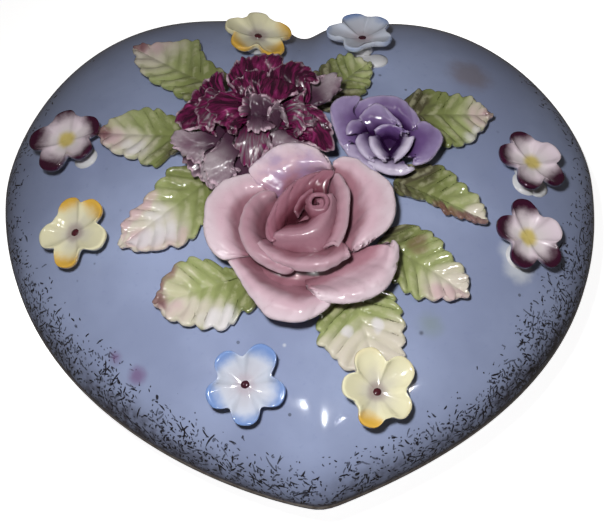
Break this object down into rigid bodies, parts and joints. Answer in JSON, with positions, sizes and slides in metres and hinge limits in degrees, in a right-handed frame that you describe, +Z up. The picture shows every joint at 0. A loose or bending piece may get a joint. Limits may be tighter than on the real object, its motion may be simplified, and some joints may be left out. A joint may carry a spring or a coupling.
{
  "type": "ceramic heart trinket box",
  "caption": "Heart-shaped ceramic trinket box: a puffed lift-off lid with applied roses, small flowers and serrated leaves over a low hollow dish for small keepsakes.",
  "frame": {"origin": "middle of the box's footprint, on the surface it stands on", "axes": "+X to the right across both lobes, +Y from the heart's tip toward its cleft, +Z up"},
  "size_m": [0.12, 0.1108, 0.0575],
  "materials": {
    "box_glaze": "glossy blue-grey glaze",
    "lid_glaze": "glossy blue-grey glaze with dark sponged strokes near the rim",
    "rose_glaze": "glossy dusty pink glaze",
    "carnation_glaze": "glossy burgundy glaze, grey-mauve at the lower petals",
    "violet_glaze": "glossy violet glaze",
    "leaf_glaze": "glossy yellow-green glaze, cream and maroon at the edges",
    "yellow_glaze": "glossy yellow glaze",
    "blue_glaze": "glossy pale blue glaze",
    "burgundy_glaze": "glossy white glaze with burgundy petal tips"
  },
  "bodies": {
    "root": {"box_base": "box_glaze", "lid": "lid_glaze", "rose": "rose_glaze", "carnation": "carnation_glaze", "violet_rose": "violet_glaze", "leaf_back_left": "leaf_glaze", "leaf_left": "leaf_glaze", "leaf_mid_left": "leaf_glaze", "leaf_front_left": "leaf_glaze", "leaf_front": "leaf_glaze", "leaf_front_right": "leaf_glaze", "leaf_right_narrow": "leaf_glaze", "leaf_right": "leaf_glaze", "leaf_back_right": "leaf_glaze", "yellow_flower_back": "yellow_glaze", "blue_flower_back": "blue_glaze", "burgundy_flower_left": "burgundy_glaze", "yellow_flower_left": "yellow_glaze", "blue_flower_front": "blue_glaze", "yellow_flower_front": "yellow_glaze", "burgundy_flower_right": "burgundy_glaze", "burgundy_flower_front_right": "burgundy_glaze"}
  },
  "joints": []
}
